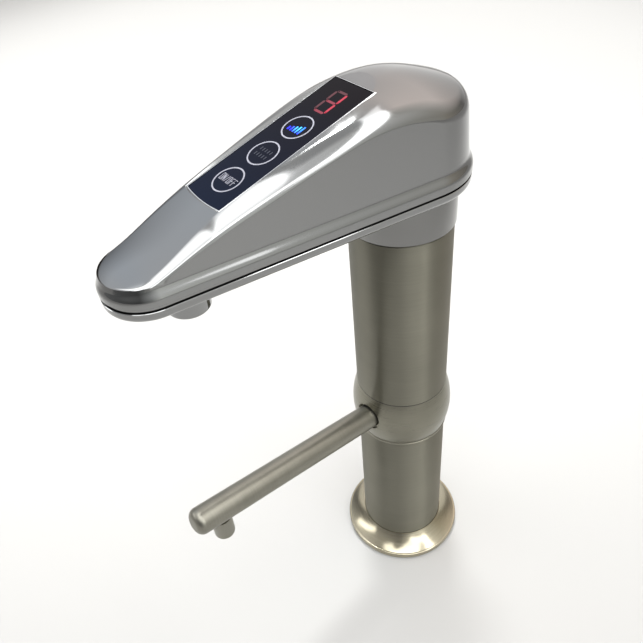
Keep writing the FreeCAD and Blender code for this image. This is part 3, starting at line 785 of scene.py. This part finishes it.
def crown(x, y, drop=0.0):
    """Height of the crowned top over a plan point."""
    ahead = np.clip(-y, station_s[0], station_s[-1])
    return middle_height(ahead) - middle_sag(ahead) * (x / crown_half) ** 2 - drop


def crown_normal(x, y):
    """Upward unit normal of the crowned top."""
    tiny = 0.02 * mm
    rise_x = (crown(x + tiny, y) - crown(x - tiny, y)) / (2 * tiny)
    rise_y = (crown(x, y + tiny) - crown(x, y - tiny)) / (2 * tiny)
    normal = np.column_stack([-rise_x, -rise_y, np.ones(len(x))])
    return normal / np.linalg.norm(normal, axis=1)[:, None]


def wall_inset(height):
    """How far the wall stands in from the lip at a height."""
    above = height - shell_foot
    share = np.clip((above - lip_h) / (flare_h - lip_h), 0, 1)
    flared = flare_inset * (0.5 - 0.5 * np.cos(pi * share))
    return flared + draft * np.maximum(above - flare_h, 0)


def shoulder_balls(inward, drop, radius):
    """Centres of a ball that rolls between wall and crown, and its contact normals."""
    first_guess, settle = 0.8, 0.7
    rounds, normal_rounds = 80, 3
    lean = 1 / hypot(1, draft)
    out = at_height(plan_normal * lean, draft * lean)
    height = crown(plan[:, 0] * first_guess, plan[:, 1]) - radius
    for _ in range(rounds):
        wall = plan - plan_normal * (wall_inset(height) + inward)[:, None]
        centre = np.column_stack([wall, height]) - out * radius[:, None]
        up = crown_normal(centre[:, 0], centre[:, 1])
        for _ in range(normal_rounds):
            foot = centre + up * radius[:, None]
            up = crown_normal(foot[:, 0], foot[:, 1])
        foot = centre + up * radius[:, None]
        height = height + settle * (crown(foot[:, 0], foot[:, 1], drop) - foot[:, 2])
    return centre, out, up


def eased(top, stops):
    """Grows smoothly from nothing to a top value between two distances ahead of the axis."""
    share = np.clip((-plan[:, 1] - stops[0]) / (stops[1] - stops[0]), 0, 1)
    return top * share * share * (3 - 2 * share)


# Height over the foot and inset of the lip's rings, and 1 where the widening gap lifts them.
lip_profile = [(0.0, gap_inset, 0), (0.5 * mm, gap_inset, 1), (0.6 * mm, 0.35 * mm, 1),
               (0.85 * mm, 0.0, 1), (lip_h * 0.5, 0.0, 0), (lip_h, 0.0, 0)]
gap_lift = gap_grows * np.clip(-plan[:, 1] / gap_over - gap_start, 0, 1)
flare_steps = 12
wall_steps = 8
shoulder_steps = 18
crown_steps = 26


def shell_rings(inward, drop, ridge, lip):
    """Rings of the shell from its foot up the wall, over the shoulder and in to the middle line."""
    radius = shoulder + eased(nose_shoulder - shoulder, shoulder_shrinks) - inward
    centre, out, up = shoulder_balls(inward, drop, radius)
    angle = np.arccos(np.clip((out * up).sum(1), -1, 1))

    def on_ball(turned):
        """Points of the ball at an angle up from its contact with the wall."""
        arm = np.sin(angle - turned)[:, None] * out + np.sin(turned)[:, None] * up
        return centre + arm / np.sin(angle)[:, None] * radius[:, None]

    rings = []
    if lip:
        for level, inset, lifted in lip_profile:
            rings.append(plan_ring(inset, shell_foot + level))
            rings[-1][:, 2] += lifted * gap_lift
        for k in range(1, flare_steps + 1):
            level = shell_foot + lip_h + (flare_h - lip_h) * k / flare_steps
            rings.append(plan_ring(float(wall_inset(level)), level))
    else:
        rings.append(plan_ring(float(wall_inset(shell_foot)) + inward, shell_foot))
    # The wall runs straight up to the ridge, which is softened by one close ring on either side.
    foot = rings[-1]
    ridge = eased(ridge, ridge_fades)
    ridge_line = on_ball(ridge)
    length = np.linalg.norm(ridge_line - foot, axis=1)
    for k in range(1, wall_steps + 1):
        part = k / wall_steps * (1 - ridge_soft / length)
        rings.append(foot + (ridge_line - foot) * part[:, None])
    rings.append(ridge_line)
    first = ridge + ridge_soft / np.maximum(radius, 2 * ridge_soft)
    for k in range(shoulder_steps + 1):
        rings.append(on_ball(first + (angle - first) * k / shoulder_steps))
    rim = rings[-1]
    middle_y = np.clip(rim[:, 1], -head_reach, 0)
    for k in range(1, crown_steps + 1):
        share = k / crown_steps
        x = rim[:, 0] * (1 - share)
        y = rim[:, 1] + (middle_y - rim[:, 1]) * share
        rings.append(np.column_stack([x, y, crown(x, y, drop)]))
    return rings


outer = shell_rings(0.0, 0.0, ridge_angle, True)
inner = shell_rings(shell_wall, shell_wall, 0.0, False)
shell = stacked_mesh("chrome_shell", inner[::-1] + outer, capped=False)

# The panel's plane: local x across, local y up the slope, local z outwards.
panel_slope = atan(panel_fall)
panel_frame = Matrix.Translation((0, 0, panel_height)) @ Matrix.Rotation(panel_slope, 4, "X")
panel_half = 11.9 * mm
panel_length = 74.7 * mm
panel_front = 23.1 * mm - head_reach
panel_back = panel_front + panel_length
panel_bow = 1.0 * mm


def panel_prism(name, grow, low, high, soft=0.0, flare=0.0):
    """Prism over the panel's outline, with its front edge bowed and its edges eased or flared."""
    half = panel_half + grow
    back = panel_back + grow
    front = panel_front - grow
    bow_steps = 16
    off_side = half * 0.999
    edge = [(-half, back), (half, back)]
    for k in range(bow_steps + 1):
        share = 1 - 2 * k / bow_steps
        edge.append((half * share, front + panel_bow * share * share))
    outline = np.array(edge[::-1])
    middle = np.array([0, (front + back) / 2])

    def level(height, outwards=0.0, back_stays=False):
        """The outline at a height, with its sides and ends moved outwards."""
        shift = np.where(outline > middle, 1.0, -1.0) * outwards
        shift[np.abs(outline[:, 0]) < off_side, 0] = 0
        if back_stays:
            shift[outline[:, 1] > middle[1], 1] = 0
        return at_height(outline + shift, height)

    rings = [level(low), level(high - soft)]
    if soft:
        rings.append(level(high, -soft))
    if flare:
        rings.append(level(high + flare, flare, True))
    shape = stacked_mesh(name, rings)
    shape.transform(panel_frame)
    return shape


# A flat is milled over the pocket's back end, where the dome would stand above the panel's plane.
facet_start, facet_end = panel_back - 1 * mm, panel_back + 30 * mm
facet_h = 20 * mm
facet_plan = [(-panel_half, facet_start), (panel_half, facet_start), (panel_half, facet_end),
              (-panel_half, facet_end)]
facet = stacked_mesh("facet", [at_height(facet_plan, level) for level in (0.0, facet_h)])
facet.transform(panel_frame)
rim_w = 0.6 * mm
rim_proud = 0.2 * mm
pocket = panel_prism("pocket", rim_w, -7 * mm, rim_proud, flare=12 * mm)
shell = cut_from(shell, pocket, facet)
piece(shell, chrome_plate, "head", ["head_shell"], crease=28)

# The pocket's rim stands as a fine bright line round the glass: ground flat, so it isn't a mirror.
# Its metal is painted much lighter than the shell's chrome, a painted highlight that makes the line
# bright.
rim_metal_painted_highlight = chrome("ground_rim_painted_highlight", "#e2e2e2", 0.24, 0.001 * mm)
rim = cut_from(panel_prism("panel_rim", rim_w, -2.5 * mm, rim_proud, 0.35 * mm),
               panel_prism("window", 0.02 * mm, -5 * mm, 5 * mm))
piece(rim, rim_metal_painted_highlight, "head", [], crease=25)

# Touch panel
# One pane of toughened glass, printed black behind, glued flush in the pocket.
# Fine white rings are printed on it, and lamps and a digit shine through windows in the black.

# Black-backed glass: deep blue black, with a clean gloss from its ground top. Its colour carries a
# painted reflection: a little bluer at the front, nearer black at the back.
black_glass, tree, surface = finish("black_backed_glass", "#0b0c14", 0.06, IOR=1.5,
                                    Specular_IOR_Level=0.07)
place = add(tree, "ShaderNodeTexCoord").outputs["Object"]
axis = add(tree, "ShaderNodeSeparateXYZ", {"Vector": place})
# Painted reflection: the glass's colour runs from bluish at the front to near black at the back,
# along its slope.
painted_reflection_front, painted_reflection_back = -98 * mm, -30 * mm
painted_reflection_share = spread(tree, axis.outputs["Y"], 0.0, 1.0, painted_reflection_front, painted_reflection_back)
feed(surface, {"Base Color": two_tone(tree, painted_reflection_share, "#0c1426", "#0c080d", 0.0, 1.0)})
relief(tree, surface, grain(tree, 30 * mm, detail=1.0), 0.002 * mm)

glass_low = -2.0 * mm
piece(panel_prism("glass_pane", -0.1 * mm, glass_low, 0.0, 0.15 * mm), black_glass, "head",
      ["touch_glass"], crease=25)

# Panel marks
# Screen-printed rings and words, in thin white ink, and the lit marks that shine through the black.
# The digit is one seven-segment figure, with its top and left bars only faintly lit.


def light_through(name, code, strength):
    """Light that comes through a clear window in the black print."""
    return finish(name, "#120a10", 0.3, Emission_Color=linear_colour(code),
                  Emission_Strength=strength)


# Screen ink: cool white, slightly see-through, so it reads as light grey on the black.
white_ink = mottled("white_screen_ink", "#8f909c", 0.4, "#93949f", "#a3a4af", 0.5 * mm)
faint_ink = mottled("unlit_mark", "#2b2e3a", 0.4, "#262936", "#30343f", 0.5 * mm)

button_first = 12.56 * mm
button_count = 3
digit_from_back = 12.13 * mm
button_pitch = (panel_length - button_first - digit_from_back) / button_count
button_y = [panel_front + button_first + button_pitch * k for k in range(button_count)]
ring_r = 6.32 * mm
ring_line = 0.6 * mm
ink_h = 0.03 * mm
tree, size = named_tree("printed_ring", "Radius", "Line", "Thickness")
half_line = maths(tree, "MULTIPLY", size["Line"], 0.5)
wide = maths(tree, "ADD", size["Radius"], half_line)
slim = maths(tree, "SUBTRACT", size["Radius"], half_line)
tall = maths(tree, "MULTIPLY", size["Thickness"], 3.0)
ring = boolean(tree, "DIFFERENCE", [drum(tree, 96, slim, tall)],
               {"Mesh 1": drum(tree, 96, wide, size["Thickness"])})
end_tree(tree, on_places(tree, size, ring), white_ink)
rings = grown("printed_rings", tree, [(0, y, ink_h / 2) for y in button_y],
              {"Radius": ring_r, "Line": ring_line, "Thickness": ink_h})
rings.transform(panel_frame)
piece(rings, white_ink, "head", [])


def printed_strokes(name, strokes, width, material):
    """A piece of thin straight strokes on the glass, from point to point, with square ends."""
    points, faces = [], []
    for start, end in strokes:
        start, end = Vector(start), Vector(end)
        along = (end - start).normalized() * width / 2
        side = Vector((-along.y, along.x))
        n = len(points)
        corners = [start - along - side, end + along - side, end + along + side,
                   start - along + side]
        points += [(spot.x, spot.y, level) for level in (0, ink_h) for spot in corners]
        faces += [(n, n + 3, n + 2, n + 1), (n + 4, n + 5, n + 6, n + 7)]
        faces += [(n + k, n + (k + 1) % 4, n + 4 + (k + 1) % 4, n + 4 + k) for k in range(4)]
    shape = mesh_of(name, points, faces)
    shape.transform(panel_frame)
    piece(shape, material, "head", [])


# Tall narrow capitals, each drawn with single strokes in a cell that is one wide and one high.
letters = {"O": [(0, 0), (0, 1), (1, 1), (1, 0), (0, 0)], "N": [(0, 0), (0, 1), (1, 0), (1, 1)],
           "F": [(0, 0), (0, 1), (1, 1), (0, 1), (0, 0.55), (0.8, 0.55)],
           "/": [(0.2, 0), (0.8, 1)]}
letter_w = 0.95 * mm
letter_h = 3.1 * mm
letter_line = 0.3 * mm
letter_pitch = 1.62 * mm
word = "ON/OFF"
word_strokes = []
for k, letter in enumerate(word):
    left = (k - (len(word) - 1) / 2) * letter_pitch - letter_w / 2
    path = [(left + x * letter_w, button_y[0] + (y - 0.5) * letter_h) for x, y in letters[letter]]
    word_strokes += list(zip(path[:-1], path[1:]))
printed_strokes("on_off_print", word_strokes, letter_line, white_ink)

# Plain bars stand in the second ring, unlit, and a plain bar scale in the third, lit blue.
scale_pitch = 1.6 * mm
scale_x = [k * scale_pitch for k in range(-2, 3)]
unlit_h = 1.1 * mm
unlit_line = 0.5 * mm
unlit_rises = (-2.0 * mm, 0.9 * mm)
unlit = [((x, button_y[1] + rise), (x, button_y[1] + rise + unlit_h))
         for rise in unlit_rises for x in scale_x]
printed_strokes("unlit_scale", unlit, unlit_line, faint_ink)
lit_h = 2.4 * mm
lit_line = 0.75 * mm
lit_climb = 0.4
glow_x = 1.2 * mm
glow_r = 4.2 * mm
blue_light, tree, surface = light_through("blue_light_window", "#1a3cff", 2.4)
scale_foot = button_y[2] - lit_h
blue_lamp = [((x, scale_foot), (x, scale_foot + (lit_h + x * lit_climb))) for x in scale_x]
place = add(tree, "ShaderNodeTexCoord").outputs["Object"]
spot = add(tree, "ShaderNodeMapping", {
    "Vector": place, "Location": panel_frame @ Vector((glow_x, button_y[2], 0))},
    vector_type="TEXTURE")
away = add(tree, "ShaderNodeVectorMath", {0: spot.outputs["Vector"]}, operation="LENGTH")
near = spread(tree, away.outputs["Value"], 0, 1, 0, glow_r)
feed(surface, {"Emission Color": two_tone(tree, near, "#3fd0ff", "#1522ff", 0.0, 0.8)})
printed_strokes("blue_scale", blue_lamp, lit_line, blue_light)

digit_y = panel_back - digit_from_back
digit_h = 13.5 * mm
digit_w = 7.4 * mm
bar = 1.15 * mm
bar_gap = 0.5 * mm
tree, size = named_tree("display_bar", "Length", "Width", "Thickness", "Turn")
straight = maths(tree, "SUBTRACT", size["Length"], size["Width"])
reach = maths(tree, "MULTIPLY", straight, 0.5)
tip_side = maths(tree, "MULTIPLY", size["Width"], sqrt(0.5))
tip = block(tree, X=tip_side, Y=tip_side, Z=size["Thickness"])
parts = [block(tree, X=straight, Y=size["Width"], Z=size["Thickness"])]
for sign in (-1.0, 1.0):
    shift = axes(tree, X=maths(tree, "MULTIPLY", reach, sign))
    parts.append(moved(tree, tip, Translation=shift, Rotation=(0, 0, radians(45))))
whole = boolean(tree, "UNION", parts)
bars = on_places(tree, size, whole, Rotation=axes(tree, Z=size["Turn"]))
# Red display light: deep red where it is full, and a faint brown red where a bar is nearly off.
red_light = light_through("red_display_light", "#ef2a4c", 0.8)[0]
even_light = light_through("even_display_light", "#c22a48", 0.6)[0]
dim_light = light_through("faint_display_light", "#a02038", 0.3)[0]
end_tree(tree, bars, red_light)
half_w = digit_w / 2 - bar / 2
half_h = digit_h / 2 - bar / 2
across_l = digit_w - bar - bar_gap
up_l = half_h - bar_gap
upright = pi / 2
groups = {
    "lit_bars_across": (even_light, 0.0, across_l, [(0, -half_h), (0, 0)]),
    "lit_bars_up": (red_light, upright, up_l, [(half_w, -half_h / 2), (half_w, half_h / 2)]),
    "dim_bars_across": (dim_light, 0.0, across_l, [(0, half_h)]),
    "dim_bars_up": (dim_light, upright, up_l, [(-half_w, -half_h / 2), (-half_w, half_h / 2)])}
for name, (material, turn, length, spots) in groups.items():
    bars = grown(name, tree, [(x, digit_y + y, ink_h / 2) for x, y in spots],
                 {"Length": length, "Width": bar, "Thickness": ink_h, "Turn": turn})
    bars.transform(panel_frame)
    piece(bars, material, "head", [])

# Board behind the panel
# A green fibreglass board carries the touch rings, the lamps and the digit.
# It is screwed to bosses in the shell.

# Solder mask: glossy dark green over faint copper tracks.
track_pitch = 2.5 * mm
green_mask, tree, surface = finish("green_solder_mask", "#1d5a35", 0.3)
place = add(tree, "ShaderNodeTexCoord").outputs["Object"]
cells = add(tree, "ShaderNodeMapping", {"Vector": place, "Scale": [1 / track_pitch] * 3})
brick = add(tree, "ShaderNodeTexBrick", {
    "Vector": cells.outputs["Vector"], "Scale": 1.0, "Color1": linear_colour("#1b5532"),
    "Color2": linear_colour("#20613a"), "Mortar": linear_colour("#2f7a4a"), "Mortar Size": 0.06})
feed(surface, {"Base Color": brick.outputs["Color"]})

# Tinned copper, for the touch rings, and the two plastics of the lamps and the display.
tinned_copper, tree, surface = finish("tinned_copper", "#b9b4a8", 0.35, 1.0)
feed(surface, {"Roughness": spread(tree, grain(tree, 1.5 * mm), 0.28, 0.45)})
clear_epoxy = mottled("blue_epoxy_lens", "#3d5fd0", 0.2, "#3555c2", "#4a6bdb", 2 * mm)
display_body = mottled("display_body", "#3a1a1e", 0.35, "#331619", "#421f23", 3 * mm)
finish_nodes(green_mask, "circuit_board")
finish_nodes(tinned_copper, "touch_rings")
finish_nodes(clear_epoxy, "button_lamps")
finish_nodes(display_body, "digit_display")

# Main outlet
# A turned and chromed nozzle under the nose.
# Its moulded flow straightener is set back in the mouth.

low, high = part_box("outlet_nozzle")
outlet_r = 9.0 * mm
outlet_round = 2.0 * mm
mouth_r = 7.4 * mm
mouth_depth = 8.0 * mm
water_r = 3.0 * mm
outline = rounded([
    (mouth_r, low.z, 0.5 * mm), (outlet_r, low.z, outlet_round - 0.55 * mm),
    (outlet_r, plate_bottom, 0), (outlet_spigot_r, plate_bottom, 0),
    (outlet_spigot_r, high.z, 0.2 * mm), (water_r, high.z, 0.2 * mm),
    (water_r, low.z + mouth_depth, 0), (mouth_r, low.z + mouth_depth, 0)], 8)
turned_piece("outlet_barrel", outline, chrome_plate, "head", ["outlet_nozzle"], "chrome", turns=128,
             place=Matrix.Translation((0, outlet_y, 0)))

low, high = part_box("aerator")
cup_r = 7.35 * mm
cup_wall = 1.2 * mm
disc_h = 1.4 * mm
water_hole_r = 0.75 * mm
hole_pitch = 2.4 * mm
row_pitch = hole_pitch * sin(radians(60))
tree, size = named_tree("flow_straightener", "Cup radius", "Cup wall", "Cup height",
                        "Disc height", "Hole radius")
half = maths(tree, "MULTIPLY", size["Cup height"], 0.5)
cup = drum(tree, 96, size["Cup radius"], size["Cup height"], half)
hollow_r = maths(tree, "SUBTRACT", size["Cup radius"], size["Cup wall"])
over_disc = maths(tree, "ADD", half, size["Disc height"])
hollow = drum(tree, 96, hollow_r, size["Cup height"], over_disc)
drills = on_places(tree, size, drum(tree, 16, size["Hole radius"], size["Cup height"]))
drills = add(tree, "GeometryNodeRealizeInstances", {"Geometry": drills}).outputs[0]
end_tree(tree, boolean(tree, "DIFFERENCE", [hollow, drills], {"Mesh 1": cup}), white_acetal)
holes = []
for row in range(-3, 4):
    for column in range(-3, 4):
        x = (column + (row % 2) / 2) * hole_pitch
        y = row * row_pitch
        if hypot(x, y) + water_hole_r < cup_r - cup_wall:
            holes.append((x, y, 0))
cup_mesh = grown("flow_straightener", tree, holes, {
    "Cup radius": cup_r, "Cup wall": cup_wall, "Cup height": high.z - low.z,
    "Disc height": disc_h, "Hole radius": water_hole_r})
cup_mesh.transform(Matrix.Translation((0, outlet_y, low.z)))
piece(cup_mesh, white_acetal, "head", ["aerator"], crease=35)

# Floor, light and camera
# A pale round floor in a plain studio, with soft boxes overhead.
# The camera has the photograph's own viewing angle.

floor_r = 5.0
floor_corners = 96
floor_turns = [2 * pi * k / floor_corners for k in range(floor_corners)]
floor_shape = mesh_of("floor", [(floor_r * cos(turn), floor_r * sin(turn), 0)
                                for turn in floor_turns], [tuple(range(floor_corners))])
floor_shape.materials.append(finish("pale_floor", "#babab8", 0.9, Specular_IOR_Level=0.1)[0])
put("floor", floor_shape)

# The studio's walls are pale behind the faucet and to its left, and dim at the end where the
# camera stands. Each stop is a share of a turn, from -X through -Y, +X and +Y, and the wall's
# colour there.
world = bpy.data.worlds.new("studio")
bpy.context.scene.world = world
world.use_nodes = True
tree = world.node_tree
tree.nodes.clear()
sky = add(tree, "ShaderNodeTexCoord").outputs["Generated"]
round_room = add(tree, "ShaderNodeTexGradient", {"Vector": sky}, gradient_type="RADIAL")
low_wall = [(0.0, "#65666a"), (0.125, "#747474"), (0.25, "#5f5f5f"), (0.375, "#4f4f4f"),
            (0.44, "#909290"), (0.5, "#e1e2dd"), (0.56, "#b3b3ae"), (0.625, "#9f998e"),
            (0.75, "#74716e"), (0.875, "#e8e6e4")]
high_wall = [(0.0, "#cdd3db"), (0.125, "#d5d5d7"), (0.25, "#a8a8a8"), (0.375, "#747474"),
             (0.5, "#efefef"), (0.625, "#c4c1bb"), (0.75, "#fff1ea"), (0.875, "#e6ddd9")]
walls = []
for wall_stops in (low_wall, high_wall):
    ramp = add(tree, "ShaderNodeValToRGB", {"Fac": round_room.outputs["Fac"]})
    stops = ramp.color_ramp.elements
    # The turn starts and ends on the same colour.
    stops[0].color = stops[1].color = linear_colour(wall_stops[0][1])
    for position, code in wall_stops[1:]:
        stops.new(position).color = linear_colour(code)
    walls.append(ramp.outputs["Color"])
climb = add(tree, "ShaderNodeSeparateXYZ", {"Vector": sky}).outputs["Z"]
# The low wall runs over into the high wall, and that into the plain ceiling. Each does so between
# two heights, which are sines of the angle above the floor.
ceiling = linear_colour("#b4b4b4")
room = walls[0]
for colour, start, end in ((walls[1], 0.14, 0.59), (ceiling, 0.86, 0.96)):
    share = spread(tree, climb, 0.0, 1.0, start, end)
    room = add(tree, "ShaderNodeMix", {"Factor": share, 6: room, 7: colour},
               data_type="RGBA").outputs[2]
air = add(tree, "ShaderNodeBackground", {"Color": room, "Strength": 1.52})
add(tree, "ShaderNodeOutputWorld", {"Surface": air.outputs["Background"]})

head_middle = Vector((0, -0.06, 0.27))
beam = radians(100)


def soft_light(name, place, across, along, watts, lies_along):
    """A rectangular soft light that looks at the head, with its long side near a direction."""
    lamp = bpy.data.lights.new(name, "AREA")
    lamp.shape = "RECTANGLE"
    lamp.size = across
    lamp.size_y = along
    lamp.energy = watts
    lamp.spread = beam
    back = (Vector(place) - head_middle).normalized()
    long_side = (Vector(lies_along) - back * back.dot(Vector(lies_along))).normalized()
    turn = Matrix([long_side.cross(back), long_side, back]).transposed()
    put(name, lamp).matrix_world = Matrix.Translation(place) @ turn.to_4x4()


# Three long soft boxes hang side by side over the faucet, with a small one in front of them.
# A fourth long one stands at its near side, and one lies low in front of the nose.
soft_light("back_strip_light", (0.76, 0.40, 1.49), 0.3, 2.55, 3.4, (1, 0, 0))
soft_light("middle_strip_light", (0.37, -0.28, 1.62), 0.32, 3.4, 4.0, (1, 0, 0))
soft_light("front_strip_light", (0.30, -0.64, 1.42), 0.4, 3.4, 5.0, (1, 0, 0))
soft_light("front_soft_light", (0.45, -1.15, 1.45), 0.45, 0.45, 0.5, (1, 0, 0))
soft_light("nose_soft_light", (-0.95, -1.5, 0.8), 0.35, 1.3, 1.5, (0.84, -0.54, 0))
soft_light("side_soft_light", (2.4, -0.25, 1.6), 0.4, 1.6, 1.6, (0, 1, 0))

# A wide pool of light on the floor behind the faucet keeps the background pale.
pool_place = (-0.7, 0.38, 2.5)
pool = bpy.data.lights.new("floor_pool_light", "SPOT")
pool.energy = 225
pool.spot_size = radians(46)
pool.spot_blend = 0.6
pool.shadow_soft_size = 0.2
put("floor_pool_light", pool).matrix_world = Matrix.Translation(pool_place)

# The camera looks down across the faucet from its near side, in front of the spout.
camera_place = Vector((200.8, -175.9, 410.4)) * mm
camera_heading = -1.00837
camera_pitch = 0.713
camera_roll = -0.108
photo_size = 643
focal_pixels = 667.5
lens = bpy.data.cameras.new("camera")
lens.sensor_width = 36
lens.lens = lens.sensor_width * focal_pixels / photo_size
lens.clip_start = 0.01
camera = put("camera", lens)
camera.matrix_world = (
    Matrix.Translation(camera_place) @ Matrix.Rotation(-camera_heading, 4, "Z")
    @ Matrix.Rotation(pi / 2 - camera_pitch, 4, "X") @ Matrix.Rotation(camera_roll, 4, "Z"))
bpy.context.scene.camera = camera
bpy.context.scene.view_settings.view_transform = "Standard"
